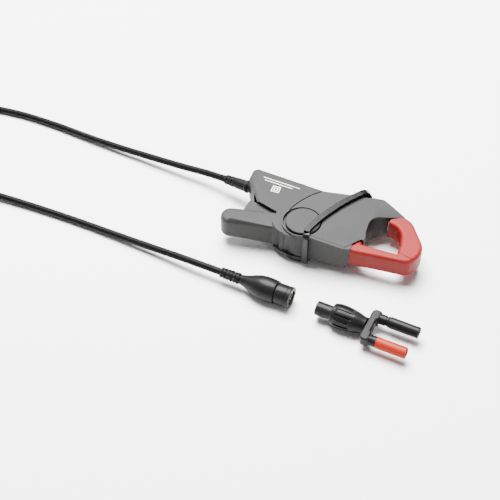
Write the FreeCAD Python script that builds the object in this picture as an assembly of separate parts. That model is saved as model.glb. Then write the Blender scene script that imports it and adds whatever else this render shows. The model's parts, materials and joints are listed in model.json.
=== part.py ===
"""Clamp-on current probe for an oscilloscope: a hinged clamp, a coax cord with a BNC plug, and a BNC to
twin banana
adapter. Millimetres. The origin is on the jaw pivot's axis, at the surface that the clamp lies on. +X
points to the jaw
tips, +Y to the fixed jaw's side and +Z up, out of the upper cover."""

import FreeCAD, Part
import math
import os
from FreeCAD import Placement, Rotation, Vector

# ---- clamp: reach from the pivot axis ----
jaw_reach = 82.6          # to the front of the hook
handle_reach = 49.0       # to the rear wall of the handle
lever_reach = 56.5        # to the rear end of the trigger lever
window_back = 42.8        # to the back wall of the conductor window
window_front = 67.4       # to the front wall of the conductor window
window_near = 1.8         # near wall of the window, on the near side of the axis
window_far = 22.8         # far wall of the window
near_wall = 12.4          # outer near wall of the jaw
front_corner = 32.2       # where the cover's near edge ends
tip_joint = 37.0          # where the near red tip starts

# ---- clamp: heights, each measured from the middle plane ----
mid = 15.25
moving_half = 8.6         # lever and moving jaw
tip_half = 7.6            # red tips
handle_half = 10.7
front_half = 12.3
boss_half = 13.0
guard_half = mid
arm_drop = 3.0            # how far the far arm falls towards the hook
front_slope = 0.10        # fall of the front cover ahead of the guard, per mm

# ---- clamp: walls and clearances ----
cover_wall = 2.0
rim_wall = 1.8
layer_gap = 0.4           # between the moving layer and a cover, up and down
split_gap = 0.3           # between the two jaws, and along the lid's near edge
seat = 0.05               # clearance of a piece in its seat
run = 0.04                # radial clearance of a running fit

# ---- pivot ----
boss_radius = 14.0
rest_radius = 12.5        # the flat boss under the clamp
hub_radius = 13.4
lever_end_radius = 7.0
web_reach = 43.4          # radius of the lever's web about the pivot
web_half = 7.4
guard_width = 3.5
pin_radius = 2.5
bush_wall = 1.2
spring_radius = 8.2
spring_wire = 1.1
spring_pocket_depth = 8.0

# ---- core and coil ----
core_half = 4.8
core_gap = 0.1            # between the two halves' faces
core_leg_near = 26.0      # back leg, pivot side
core_leg_far = 33.4       # back leg, window side
core_front = 70.0         # front leg, window side
core_tip = 78.6           # front leg, outer side
bobbin_wall = 1.0
bobbin_low = 3.0
bobbin_high = 24.5
coil_build = 3.6

# ---- circuit board and range switch ----
board = (25.0, 10.4, 1.6)
board_place = (-26.0, 29.8)
board_drop = 4.0          # board's top below the middle plane
switch_size = (9.0, 4.6, 2.4)
switch_travel = 4.0
knob_size = (7.0, 5.2)
post_radius = 2.7
screw_radius = 1.25
screw_head = 2.2
screw_places = [(-43.0, 36.6), (-8.6, 30.6), (16.2, 32.6), (40.4, 38.6)]

# ---- cord and the clamp's cable boot ----
cord_radius = 2.5
boot_place = (-49.0, 30.9, 15.2)
boot_way = (-20.0, 5.1, -3.0)
boot_length = 21.0
boot_root = 4.65
boot_tip = 3.1
boot_flange = 4.4
coil_centre = (-292.7, 16.5)
coil_mid_radius = 27.5
coil_bundle = 15.6        # width and height of the bundle of turns

# ---- BNC plug: distances along its axis from the end of its boot ----
plug_place = (-42.0, -45.5, 8.2)
plug_turn = -6.7          # degrees from +X
grip_radius = 8.2
boot_end = 15.2
seam = 41.7
sleeve_front = 52.2
sleeve_radius = 7.25
contact_radius = 4.05
barrel_radius = 4.85
lug_radius = 5.5
lug_size = 1.0
liner_wall = 0.5

# ---- adapter: distances along the same axis ----
jack_front = 70.5
grip_start = 81.7
grip_end = 104.8
yoke_end = 113.8
pin_spacing = 19.05
sheath_start = 117.8
sheath_length = 20.6
sheath_radius = 3.9
banana_radius = 2.0
banana_root = 1.6         # the pin's thinner root, in the yoke and the sheath's floor
sheath_floor = 2.0

bush_radius = pin_radius + bush_wall


# ---------------------------------------------------------------- helpers
def face(path):
    """A flat face at height 0. (x, y) is a straight run to a corner, and ((mx, my), (x, y)) an arc through
    a middle
    point to a corner."""
    ends = [p[1] if isinstance(p[0], tuple) else p for p in path]
    edges = []
    for k, p in enumerate(path):
        a, b = Vector(*ends[k - 1], 0), Vector(*ends[k], 0)
        if isinstance(p[0], tuple):
            edges.append(Part.Arc(a, Vector(*p[0], 0), b).toShape())
        else:
            edges.append(Part.LineSegment(a, b).toShape())
    return Part.Face(Part.Wire(edges))


def slab(path, low, high):
    """An outline raised from one height to another, both measured from the middle plane."""
    flat = face(path)
    flat.translate(Vector(0, 0, mid + low))
    return flat.extrude(Vector(0, 0, high - low))


def post(x, y, radius, low, high):
    """A round post or hole, with heights from the middle plane."""
    return Part.makeCylinder(radius, high - low, Vector(x, y, mid + low))


def box(x0, x1, y0, y1, low, high):
    return Part.makeBox(x1 - x0, y1 - y0, high - low, Vector(x0, y0, mid + low))


def rounded(shape, radius, wanted):
    """The shape with the edges that wanted(edge) picks rounded."""
    picked = [e for e in shape.Edges if wanted(e)]
    return shape.makeFillet(radius, picked)


def level(edge, height):
    """Whether an edge lies at a height, measured from the middle plane."""
    b = edge.BoundBox
    return abs(b.ZMin - mid - height) < 1e-4 and abs(b.ZMax - mid - height) < 1e-4


def turned(profile):
    """A solid of revolution about +X from (distance, radius) corners."""
    wire = Part.makePolygon([Vector(s, r, 0) for s, r in [*profile, profile[0]]])
    return Part.Face(wire).revolve(Vector(0, 0, 0), Vector(1, 0, 0), 360)


def tube(s0, s1, inner, outer):
    if inner == 0:
        return turned([(s0, 0), (s0, outer), (s1, outer), (s1, 0)])
    return turned([(s0, inner), (s0, outer), (s1, outer), (s1, inner)])


def along_plug(shape):
    """Moves a shape from the plug's own axis, +X, to its place on the table."""
    moved = shape.copy()
    moved.Placement = Placement(Vector(*plug_place),
        Rotation(Vector(0, 0, 1), plug_turn)).multiply(moved.Placement)
    return moved


def along_boot(shape):
    """Moves a shape from +X to the line on which the cord leaves the handle."""
    moved = shape.copy()
    moved.Placement = Placement(Vector(*boot_place), Rotation(Vector(1, 0, 0), Vector(*boot_way)))
    return moved


def mirrored(shape):
    """The same shape on the other side of the middle plane."""
    return shape.mirror(Vector(0, 0, mid), Vector(0, 0, 1))


def joined(shapes):
    whole = shapes[0]
    for s in shapes[1:]:
        whole = whole.fuse(s)
    return whole.removeSplitter()


def group(shapes):
    """Separate solids that share one node."""
    return Part.makeCompound(shapes)


def circle_point(radius, degrees, centre=(0, 0)):
    a = math.radians(degrees)
    return (centre[0] + radius * math.cos(a), centre[1] + radius * math.sin(a))


# ---------------------------------------------------------------- outlines, seen from above
def handle_outline(inset=0.0):
    """The handle, from its open near edge round the rear to the far waist. A positive inset draws it
    inside a wall."""
    rear, far = -handle_reach + inset, 41.6 - inset
    return [
        (-36.4 + inset * 0.6, 10.4 + inset), (rear, 30.2), (rear, far - 5.5),
        ((rear + 0.9, far - 1.6), (rear + 4.4, far)),
        (8.0, 35.4 - inset), (8.0, -8.0), ((-1.0, -14.0), (-10.0, -12.8)), ((-17.6, -8.4), (-20.2, -1.8)),
        (-19.5, 4.4),
    ]


def throat_edge():
    """The front edge of the covers, from the near corner round the back of the window to the far arm."""
    return [
        (window_back - 1.6, -4.2), ((window_back + 0.8, 0.8), (window_back, 6.5)),
        (window_back - 0.2, 13.0),
        ((window_back + 1.8, window_far - 2.4), (window_back + 8.0, window_far + 1.9)), (63.1, 31.3),
    ]


def front_outline():
    """The raised front of the clamp, from the pivot boss to the far arm."""
    boss_left, boss_near = circle_point(boss_radius, 158), circle_point(boss_radius, -85)
    return [
        (circle_point(boss_radius, -143), boss_near), (9.7, -near_wall), (front_corner, -near_wall),
        *throat_edge(), (63.9, 32.2), (46.5, 40.4), ((40.0, 42.97), (33.0, 42.7)), (15.0, 38.2),
        (7.6, 35.6),
        ((-6.9, 20.0), boss_left),
    ]


def guard_outline():
    """The finger guard: a curved band that crosses the body and stands out of both sides."""
    line = [(5.0, -14.6), (19.1, 19.4), (39.2, 45.0)]
    back, ahead = ([(x + 0.863 * d, y - 0.506 * d) for x, y in line] for d in (-guard_width / 2,
        guard_width / 2))
    return [back[0], (back[1], back[2]), ahead[2], (ahead[1], ahead[0])]


def hook_outline():
    """The red tip of the fixed jaw."""
    return [
        (window_front, split_gap / 2), (jaw_reach - 2.2, split_gap / 2),
        ((jaw_reach, 6.2), (jaw_reach - 1.9, 12.6)), (jaw_reach - 10.4, 26.0), ((70.2, 28.6), (64.6, 31.9)),
        (55.6, 26.3), (54.8, window_far), ((window_front - 5.4, 20.2), (window_front - 1.2, 13.4)),
        (window_front, 7.0),
    ]


def bar_outline():
    """The red tip of the moving jaw."""
    return [
        (window_front, -split_gap / 2), (window_front - 0.6, -window_near - 0.7),
        (window_back + 0.3, -window_near),
        (window_back, -split_gap / 2), (tip_joint, -split_gap / 2), (tip_joint, -near_wall + 1.6),
        (72.0, -8.7), ((78.6, -6.0), (jaw_reach - 2.2, -split_gap / 2)),
    ]


# ---------------------------------------------------------------- covers
def ahead_of_guard(x, y):
    """How far a point is ahead of the line that the guard follows."""
    return (x - 6.6) * 0.863 - (y + 9.2) * 0.506


def top_at(x, y):
    """A point on the front cover's top, which falls ahead of the guard."""
    return Vector(x, y, mid + front_half - front_slope * ahead_of_guard(x, y))


def above(start, across, down):
    """Everything above the sloping plane that starts on a line and falls away from it."""
    a, b = start - across, start - across + down
    top = Vector(0, 0, 40)
    side = Part.Face(Part.makePolygon([a, b, b + top, a + top, a]))
    return side.extrude(across * 3)


def sloped_top():
    """What the front cover's sloping top leaves out."""
    start = top_at(6.6, -9.2)
    return above(start, Vector(50.6, 86.3, 0), Vector(86.3, -50.6, -100 * front_slope))


def arm_top():
    """What the far arm's steeper top leaves out."""
    start, end = top_at(44.8, 17.0), top_at(43.0, 38.0)
    return above(start, end - start, Vector(30.0, 2.0, -arm_drop * 2.2))


def far_side(edge):
    """Whether an edge is on the clamp's far outline."""
    b = edge.BoundBox
    return b.YMin > 31.5 and b.XMin > 7 and b.XLength > 0.5


def cover_block():
    """Both covers' outer shape above the middle plane, solid."""
    handle = slab(handle_outline(), 0, handle_half)
    handle = rounded(handle, 3.0,
        lambda e: level(e, handle_half) and (e.BoundBox.YMin > 25 or e.BoundBox.XMax < -36))
    front = rounded(slab(front_outline(), 0, front_half), 3.0,
        lambda e: level(e, front_half) and far_side(e))
    front = front.cut(sloped_top()).cut(arm_top())
    boss = post(0, 0, boss_radius - 0.6, 0, boss_half)
    groove = post(0, 0, boss_radius, front_half - 0.7, 40).cut(post(0, 0, boss_radius - 0.6, 0, 40))
    return joined([handle, front.cut(groove), boss])


def sector(radius, start, end, low, high):
    """A slice of a disc about the pivot."""
    middle = circle_point(radius, (start + end) / 2)
    return slab([(0, 0), circle_point(radius, start), (middle, circle_point(radius, end))], low, high)


def moving_space(low, high):
    """The room between the covers that the lever and the near jaw sweep, and the slot for the jaw's raised
    rim."""
    web = sector(web_reach + 0.5, 146, 270, low, high)
    jaw = slab([(-1, 0.01), (100, 0.01), (100, -40), (-1, -40)], low, high)
    lever = slab([(-70, 8), (-41, 8), (-30, -2), (-1, -2), (-1, -40), (-70, -40)], low, high)
    lid_edge = -near_wall + rim_wall + split_gap
    rim = slab([(5.0, -40), (5.0, -13.7), (9.4, lid_edge), (90, lid_edge), (90, -40)], low, 40)
    return web.fuse(jaw).fuse(lever).fuse(rim)


def cavity():
    """The closed room inside the covers on the far side: handle, body and far arm."""
    handle = slab(handle_outline(cover_wall), -moving_half - layer_gap, moving_half + layer_gap)
    body = slab([
        (-16.0, -10.0), (window_back - cover_wall, -0.01), (window_back - cover_wall, 16.0),
        (44.0, window_far + 1.7),
        (46.5, window_far + 4.2), (47.0, 37.6), ((41.0, 40.4), (34.8, 40.8)), (15.6, 36.0), (0.0, 33.0),
    ], -moving_half - layer_gap, moving_half + layer_gap)
    return handle.fuse(body)


def cover(upper):
    """One of the two covers. The lower one has the flat boss that the clamp rests on, and the switch
    slot."""
    shell = cover_block()
    if not upper:
        shell = shell.fuse(post(0, 0, rest_radius, 0, guard_half))
        shell = shell.cut(post(spring_leg_at(), 0, spring_wire / 2 + seat, moving_half, moving_half + 2.2))
    hollow = cavity().fuse(pocket(far_core_outline(), seat, core_half + seat))
    shell = shell.cut(hollow).cut(moving_space(-moving_half - layer_gap, moving_half + layer_gap))
    for x, y in screw_places:
        stud = post(x, y, post_radius, seat, handle_half - 1.0)
        hole = post(x, y, screw_radius + seat, -1, handle_half - 2.4) if upper else post(x, y,
            screw_radius + seat, -1, 40)
        shell = shell.fuse(stud).cut(hole)
        if not upper:
            shell = shell.cut(post(x, y, screw_head + 0.2, 5.0, 40))
    shell = shell.cut(post(0, 0, pin_radius + seat, 0, boss_half - 1.4))
    if not upper:
        shell = mirrored(shell).cut(switch_slot())
    return shell.cut(along_boot(tube(-9.6, 3, 0, boot_root - 1.1 + seat)))


# ---------------------------------------------------------------- moving jaw
def near_core_outline():
    face_at = -core_gap / 2
    return [
        (core_leg_near, face_at), (core_leg_near, -9.5), (40.0, -9.1), (72.0, -7.0), (77.6, -4.4),
        (core_tip, face_at),
        (core_front, face_at), (core_front - 0.6, -4.0), (core_leg_far, -3.6), (core_leg_far, face_at),
    ]


def far_core_outline():
    face_at = core_gap / 2
    return [
        (core_leg_near, face_at), (core_leg_near, 34.5), (44.0, 34.5), (54.5, 31.6), (66.5, 26.2),
        (72.4, 22.0),
        (core_tip - 0.9, 11.5), (core_tip, face_at), (core_front, face_at), (core_front - 0.4, 13.4),
        (64.6, 22.0), (56.8, 25.8), (46.0, 28.0), (core_leg_far, 28.4), (core_leg_far, face_at),
    ]


def pocket(path, grow, half):
    """The room for a flat piece, with a clearance all round."""
    flat = face(path).makeOffset2D(grow)
    flat.translate(Vector(0, 0, mid - half))
    return flat.extrude(Vector(0, 0, 2 * half))


def at_faces(edge, half):
    """Whether an edge lies on the top or the bottom face of a flat piece."""
    b = edge.BoundBox
    return b.ZLength < 1e-4 and abs(abs(b.ZMin - mid) - half) < 1e-4


def lever_outline():
    """The trigger lever, from its round rear end to the hub."""
    end = (-lever_reach + lever_end_radius, -6.0)
    near, rear, far = (circle_point(lever_end_radius, a, end) for a in (-81.2, 190, 100.8))
    return [
        near, (rear, far), (-30.0, 5.0), (-8.0, 9.0), (0, -hub_radius + 0.2), (-9.0, -hub_radius + 2.6),
        ((-11.4, -11.4), (-13.6, -8.6)), (-18.8, -8.3),
    ]


def lever_arm():
    """The trigger lever, its web, the hub and the grey root of the moving jaw, moulded in one."""
    lever = slab(lever_outline(), -moving_half, moving_half)
    lever = rounded(lever, 3.2, lambda e: at_faces(e, moving_half) and e.BoundBox.XMax < -16)
    web = sector(web_reach, 164.5, 182, -web_half, web_half)
    hub = post(0, 0, hub_radius, -moving_half, moving_half)
    wall = -near_wall
    jaw = slab([
        (0, -split_gap / 2), (tip_joint, -split_gap / 2), (tip_joint, wall + 1.6), (front_corner, wall),
        (9.7, wall),
        (3.4, wall - 0.6), (0, -hub_radius),
    ], -moving_half, moving_half)
    rim = slab([
        (7.0, wall - 0.4), (9.8, wall + rim_wall), (front_corner, wall + rim_wall), (front_corner, wall),
        (9.7, wall),
    ], -front_half, front_half)
    rim = rim.cut(sloped_top()).cut(mirrored(sloped_top()))
    arm = joined([lever, web, hub, jaw, rim])
    arm = arm.cut(pocket(near_core_outline(), seat, core_half + seat))
    arm = arm.cut(box(23.2, core_leg_near, -8.6, -1.2, -4.2, 4.2))
    arm = arm.cut(post(0, 0, bush_radius + seat, -20, 20))
    spring_room = post(0, 0, spring_radius + 0.6, -20, -moving_half + spring_pocket_depth)
    arm = arm.cut(spring_room.cut(post(0, 0, spring_radius - spring_wire - 0.8, -20, 20)))
    return arm.cut(box(-22.0, -spring_radius + 1.5, -0.9, 0.9, -20, -moving_half + 3.0))


def moving_jaw_tip():
    tip = slab(bar_outline(), -tip_half, tip_half)
    tip = rounded(tip, 2.0, lambda e: at_faces(e, tip_half) and e.BoundBox.YMax < -window_near + 0.1
                  and e.BoundBox.XMax > window_back + 1)
    return tip.cut(pocket(near_core_outline(), seat, core_half + seat))


def fixed_jaw_tip():
    tip = slab(hook_outline(), -tip_half, tip_half)
    tip = rounded(tip, 2.0, lambda e: at_faces(e, tip_half) and e.BoundBox.YMax > 1
                  and not (e.BoundBox.XMin < 57 and e.BoundBox.YMax > 23))
    return tip.cut(pocket(far_core_outline(), seat, core_half + seat))


def guards():
    """The fixed guard on the covers, and the part of it that rides on the moving jaw's wall."""
    band = slab(guard_outline(), -guard_half, guard_half)
    band = rounded(band, 1.1, lambda e: at_faces(e, guard_half))
    lid_edge = -near_wall + rim_wall + split_gap
    body = joined([cover_block(), mirrored(cover_block())])
    inside = slab([(-20, -40), (60, -40), (60, 40), (-20, 40)], -moving_half - layer_gap,
        moving_half + layer_gap)
    fixed = band.cut(box(-40, 60, -40, lid_edge, -40, 40)).cut(body).cut(inside)
    fixed = fixed.cut(post(0, 0, rest_radius, -guard_half, 0))
    moving = band.common(box(-40, 60, -40, lid_edge - split_gap, -40, 40)).cut(lever_arm())
    moving = moving.cut(post(0, 0, boss_radius + 0.4, -40, 40))
    return fixed, moving


# ---------------------------------------------------------------- inside the clamp
def coil_bobbin():
    """A spool with two flanges round the core's back leg."""
    low, high = bobbin_low, bobbin_high
    x0, x1 = core_leg_near - seat - bobbin_wall, core_leg_far + seat + bobbin_wall
    tall = core_half + seat + bobbin_wall
    spool = box(x0, x1, low, high, -tall, tall)
    reach = coil_build - 0.6
    for y in (low, high - bobbin_wall):
        spool = spool.fuse(box(x0 - coil_build, x1 + coil_build, y, y + bobbin_wall, -tall - reach,
            tall + reach))
    core = box(core_leg_near - seat, core_leg_far + seat, 0, 40, -core_half - seat, core_half + seat)
    return spool.cut(core)


def coil_winding():
    low, high = bobbin_low + bobbin_wall + seat, bobbin_high - bobbin_wall - seat
    x0, x1 = core_leg_near - 2 * seat - bobbin_wall, core_leg_far + 2 * seat + bobbin_wall
    tall = core_half + 2 * seat + bobbin_wall
    build = coil_build - 1.2
    turns = box(x0 - build, x1 + build, low, high, -tall - build, tall + build)
    turns = rounded(turns, 1.6, lambda e: e.BoundBox.YLength > 10)
    return turns.cut(box(x0, x1, low, high, -tall, tall))


def core_leaf_spring():
    """A bowed strip that presses the moving core half towards its mate."""
    low, high, bow = -8.4, -1.4, 25.9
    middle = (low + high) / 2
    return slab([
        (23.4, low), ((bow - 0.3, middle), (23.4, high)), (23.7, high), ((bow, middle), (23.7, low)),
    ], -4.0, 4.0)


def spring_leg_at():
    """How far from the pivot the spring's fixed leg stands."""
    return spring_radius - spring_wire / 2


def return_spring():
    """The room that the torsion spring's coils fill, with its two legs."""
    coils = post(0, 0, spring_radius, -moving_half + 0.4, -moving_half + spring_pocket_depth - 0.4)
    coils = coils.cut(post(0, 0, spring_radius - spring_wire, -20, 20))
    start = Vector(-spring_leg_at(), 0, mid - moving_half + 1.2)
    lever_leg = Part.makeCylinder(spring_wire / 2, 13.0, start, Vector(-1, 0, 0))
    case_leg = post(spring_leg_at(), 0, spring_wire / 2 - seat, -moving_half - 2.0, -moving_half + 1.5)
    return coils.fuse(lever_leg).fuse(case_leg)


def board_box(length, width, height, x, y, top):
    """A box on or under the board, placed by its middle, with its top measured from the middle plane."""
    return box(x - length / 2, x + length / 2, y - width / 2, y + width / 2, top - height, top)


def circuit_board():
    x, y = board_place
    plate = board_box(*board, x, y, -board_drop)
    for dx in (-9.5, -6.5, 8.0, 10.5):
        plate = plate.cut(post(x + dx, y - 3.6, 0.5, -20, 20))
    return plate


def burden_resistors():
    x, y = board_place
    return group([board_box(3.2, 1.6, 0.6, x + dx, y + dy, -board_drop + 0.6)
                  for dx, dy in ((-4.5, -2.6), (-4.5, 0.4), (-0.2, -2.6), (-0.2, 0.4))])


def limiter_diodes():
    x, y = board_place
    return group([Part.makeCylinder(0.9, 4.0, Vector(x + dx, y - 1.4, mid - board_drop + 0.9),
        Vector(0, 1, 0))
                  for dx in (4.4, 8.2)])


def switch_top():
    return -board_drop - board[2]


def range_switch():
    x, y = board_place
    length, width, height = switch_size
    case = board_box(length, width, height, x, y, switch_top())
    return case.cut(board_box(switch_travel + 1.8, 1.8, 2.0, x, y, switch_top() - height + 2.0))


def knob_stem_top():
    return switch_top() - switch_size[2] + 1.4


def range_knob():
    """The sliding knob: a flange inside the cover, a stem through its slot and a ridged finger pad
    outside."""
    x, y = board_place[0] - switch_travel / 2, board_place[1]
    length, width = knob_size
    inner = -moving_half - layer_gap
    flange = board_box(length + switch_travel + 2.4, width + 2.0, 0.8, x, y, inner + 0.9)
    stem = board_box(length - 2.0, width - 1.6, 3.0, x, y, inner + 0.2)
    pad = board_box(length, width, 1.3, x, y, -handle_half - 0.1)
    lever = board_box(1.4, 1.4, knob_stem_top() - inner, x, y, knob_stem_top())
    knob = joined([flange, stem, pad, lever])
    for k in range(3):
        knob = knob.cut(board_box(0.5, width + 1, 0.5, x - 1.6 + 1.6 * k, y, -handle_half - 0.9))
    return knob


def switch_slot():
    length, width = knob_size
    return board_box(length - 2.0 + switch_travel + 0.6, width - 1.0, 20, *board_place, -5)


def case_screws():
    bodies = []
    for x, y in screw_places:
        shank = post(x, y, screw_radius, -5.6, handle_half - 3.0)
        head = post(x, y, screw_head, -7.2, -5.0)
        slot = box(x - 1.4, x + 1.4, y - 0.3, y + 0.3, -7.2, -6.4)
        cross = box(x - 0.3, x + 0.3, y - 1.4, y + 1.4, -7.2, -6.4)
        bodies.append(shank.fuse(head).cut(slot).cut(cross))
    return group(bodies)


def pivot_pin():
    """A steel pin held in both bosses."""
    return post(0, 0, pin_radius, -boss_half + 1.6, boss_half - 1.6)


def pivot_bush():
    return post(0, 0, bush_radius, -moving_half, moving_half).cut(post(0, 0, pin_radius + run, -40, 40))


# ---------------------------------------------------------------- cord
case_route = [
    (-106.0, 41.6, 8.2), (-140.0, 46.4, 5.4), (-176.0, 50.8, 3.6), (-214.0, 57.4, 2.7), (-250.0, 60.6, 2.6),
    (-282.0, 57.8, 2.6),
]
plug_route = [
    (-270.0, -22.4, 8.6), (-236.0, -26.4, 4.4), (-200.0, -26.6, 2.7), (-162.0, -29.2, 2.6),
    (-126.0, -33.4, 3.2),
    (-94.0, -38.0, 5.2),
]
coil_in_angle = 115.0     # where the cord from the clamp joins the coil
coil_out_angle = -103.0   # where the cord to the plug leaves it
outer_turn = coil_mid_radius + 5.0


def way_out_of_boot(distance):
    way = Vector(*boot_way).normalize()
    return Vector(*boot_place) + way * distance


def case_points():
    """The cord's middle line from the boot's end to the coil."""
    ends = [way_out_of_boot(boot_length), way_out_of_boot(boot_length + 14.0)]
    x, y = circle_point(outer_turn, coil_in_angle, coil_centre)
    return [*ends, *(Vector(*p) for p in case_route), Vector(x, y, 2.6)]


def plug_points():
    """The cord's middle line from the coil to the plug's boot."""
    x, y = circle_point(outer_turn, coil_out_angle, coil_centre)
    end = Vector(*plug_place)
    before = end - Rotation(Vector(0, 0, 1), plug_turn).multVec(Vector(21.0, 0, 0))
    return [Vector(x, y, 12.6), *(Vector(*p) for p in plug_route), before, end]


def smooth_path(points):
    """Straight runs joined by tangent arcs, each as large as its two runs allow. Returns the wire and its
    radii."""
    edges, radii, at = [], [], points[0]
    for before, corner, after in zip(points, points[1:], points[2:]):
        into, out = (corner - before), (after - corner)
        short = min(into.Length, out.Length)
        into.normalize()
        out.normalize()
        half_turn = into.getAngle(out) / 2
        reach = 0.45 * short
        radius = reach / math.tan(half_turn)
        start, end = corner - into * reach, corner + out * reach
        middle = corner + (out - into).normalize() * (radius / math.cos(half_turn) - radius)
        edges += [Part.LineSegment(at, start).toShape(), Part.Arc(start, middle, end).toShape()]
        radii.append(radius)
        at = end
    edges.append(Part.LineSegment(at, points[-1]).toShape())
    return Part.Wire(edges), radii


def tube_along(points, radius):
    """A round tube along a path, with the path's length and radii."""
    wire, radii = smooth_path(points)
    section = Part.Wire(Part.makeCircle(radius, points[0], points[1] - points[0]))
    return wire.makePipeShell([section], True, False), wire.Length, radii


def cord(points, name):
    tube_solid, length, radii = tube_along(points, cord_radius)
    share = tube_solid.Volume / (math.pi * cord_radius**2 * length)
    print(f"{name}: length {length:.0f}, volume against section times length {share:.3f}, radii",
        [round(r) for r in radii])
    return tube_solid.cut(cord_coil())


def cord_coil():
    """The outer shape of the coil that the cord's spare length lies in."""
    half = coil_bundle / 2
    x, y = coil_centre
    ring = Part.makeCylinder(coil_mid_radius + half, coil_bundle, Vector(x, y, 0))
    ring = ring.cut(Part.makeCylinder(coil_mid_radius - half, coil_bundle, Vector(x, y, 0)))
    return ring.makeFillet(2.4, [e for e in ring.Edges if e.BoundBox.ZLength < 1e-4])


def ribbed(start, end, root, tip, pitch, depth):
    """The corners of a tapering grip with square ribs."""
    corners, count = [], int((end - start) / pitch)
    for k in range(count):
        s = start + k * pitch
        r = root + (tip - root) * k / count
        corners += [(s, r), (s + pitch * 0.55, r), (s + pitch * 0.55, r - depth), (s + pitch, r - depth)]
    return [*corners, (end, tip)]


def cable_boot(covers):
    """The ribbed boot, with a neck in the rear wall and a flange behind it."""
    neck = boot_root - 1.1
    boot = turned([
        (-4.4, 0), (-4.4, boot_flange), (-2.9, boot_flange), (-2.9, neck), (0.2, neck),
        *ribbed(0.2, boot_length, boot_root, boot_tip, 3.0, 0.55), (boot_length, 0),
    ])
    boot = along_boot(boot)
    for shell in covers:
        boot = boot.cut(shell)
    return max(boot.Solids, key=lambda solid: solid.Volume)


def cord_inner_end():
    """The end of the cord's jacket inside the handle."""
    return along_boot(tube(-9.4, -4.4, 0, cord_radius))


def cord_crimp_ring():
    return along_boot(tube(-8.6, -5.4, cord_radius, cord_radius + 0.5))


def signal_leads():
    """The core and the braid's pigtail, from the jacket's end to the board."""
    start = way_out_of_boot(-9.8)
    x, y = board_place
    top = mid - board_drop
    wires = []
    for side, dx in ((-0.9, -9.5), (0.9, -6.5)):
        pad = Vector(x + dx, y - 3.6, top)
        first = start + Vector(0, side, 0)
        wires.append(tube_along([first, first + Vector(2.2, -0.4, 0.3), pad + Vector(-0.6, 0.4, 2.6), pad],
            0.45)[0])
    return group(wires)


def coil_leads():
    """Two enamelled leads from the winding to the board."""
    x, y = board_place
    top = mid - board_drop
    wires = []
    for lift, dx in ((0.0, 8.0), (1.6, 10.5)):
        pad = Vector(x + dx, y - 3.6, top)
        edge = core_leg_near - 2 * seat - bobbin_wall - coil_build + 1.2 - 0.3
        wires.append(tube_along([
            Vector(edge, 20.4, mid + lift), Vector(13.0, 23.0, mid + 1.4 + lift),
            Vector(-4.0, 25.2, mid + 1.0 + lift),
            pad + Vector(0.8, 0, 3.0 + lift), pad,
        ], 0.4)[0])
    return group(wires)


# ---------------------------------------------------------------- BNC plug
def plug_boot():
    return along_plug(turned([
        (0, 1.6), *ribbed(0, boot_end, 3.15, 3.5, 2.5, 0.5), (boot_end, 1.6),
    ]))


def plug_cable_core():
    """The cord's inner insulation, which runs on through the boot to the contact."""
    return along_plug(tube(0, 32.5, 0, 1.5))


def plug_body():
    """The smooth moulded body that flares to the grip."""
    front_room = sleeve_radius - 0.35
    body = turned([
        (boot_end, 1.6), (boot_end, 3.4), (17.0, 3.9), (20.0, 4.9), (24.0, 6.6), (28.0, 7.8),
        (31.0, grip_radius),
        (38.0, grip_radius), (40.6, grip_radius - 0.15), (seam - 0.35, grip_radius - 0.6),
        (seam - 0.35, front_room),
        (35.6, front_room), (35.6, 5.65), (32.6, 5.65), (32.6, 3.5), (21.6, 3.5), (21.6, 1.6),
    ])
    return along_plug(body)


def crimp_ferrule():
    """The ferrule that grips the braid behind the contact shell."""
    return along_plug(tube(21.8, 32.4, 1.6, 3.4))


def plug_shell():
    """The metal contact shell: a base with a ring groove, and the slotted outer contact."""
    shell = turned([
        (32.6, 1.6), (32.6, 5.6), (38.0, 5.6), (38.0, 5.0), (39.2, 5.0), (39.2, 5.6), (40.8, 5.6),
        (40.8, contact_radius), (51.0, contact_radius), (51.0, 3.5), (34.0, 3.5), (34.0, 1.6),
    ])
    for turn in (45, 135):
        slot = Part.makeBox(9.0, 12, 0.5, Vector(42.6, -6, -0.25))
        shell = shell.cut(slot.rotate(Vector(0, 0, 0), Vector(1, 0, 0), turn))
    return along_plug(shell)


def plug_insulator():
    return along_plug(turned([(34.05, 0.75), (34.05, 3.45), (42.4, 3.45), (42.4, 0.75)]))


def plug_pin():
    return along_plug(turned([(32.6, 0), (32.6, 0.7), (49.4, 0.7), (50.0, 0.3), (50.0, 0)]))


def plug_gasket():
    return along_plug(tube(40.82, 41.2, contact_radius + 0.03, 5.4))


def snap_ring():
    """The open ring that holds the coupling sleeve on the shell."""
    ring = tube(38.1, 39.1, 5.05, 6.0)
    return along_plug(ring.cut(Part.makeBox(2, 2, 14, Vector(37.6, -1, 0))))


def coupling_sleeve():
    """The insulated sleeve that turns on the shell, with its skirt inside the body."""
    grip = sleeve_radius
    sleeve = turned([
        (36.2, 5.72), (36.2, 6.5), (seam, 6.5), (seam, grip - 0.5), (seam + 0.6, grip),
        (sleeve_front - 0.6, grip),
        (sleeve_front, grip - 0.5), (sleeve_front, 6.35), (42.4, 6.35), (42.4, 5.72), (39.5, 5.72),
        (39.5, 6.2),
        (37.7, 6.2), (37.7, 5.72),
    ])
    return along_plug(sleeve)


def bayonet_ring():
    """The metal ring in the sleeve, with two entry slots and the groove that the lugs lock in."""
    inner, groove = barrel_radius + 0.1, lug_radius + 0.2
    ring = turned([
        (42.45, inner), (42.45, 6.3), (51.8, 6.3), (51.8, inner), (46.4, inner), (46.4, groove),
        (43.6, groove), (43.6, inner),
    ])
    slot = Part.makeBox(8.0, 2 * groove, 2 * lug_size + 0.5, Vector(44.0, -groove, -lug_size - 0.25))
    return along_plug(ring.cut(slot.common(tube(40, 60, 0, groove))))


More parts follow.
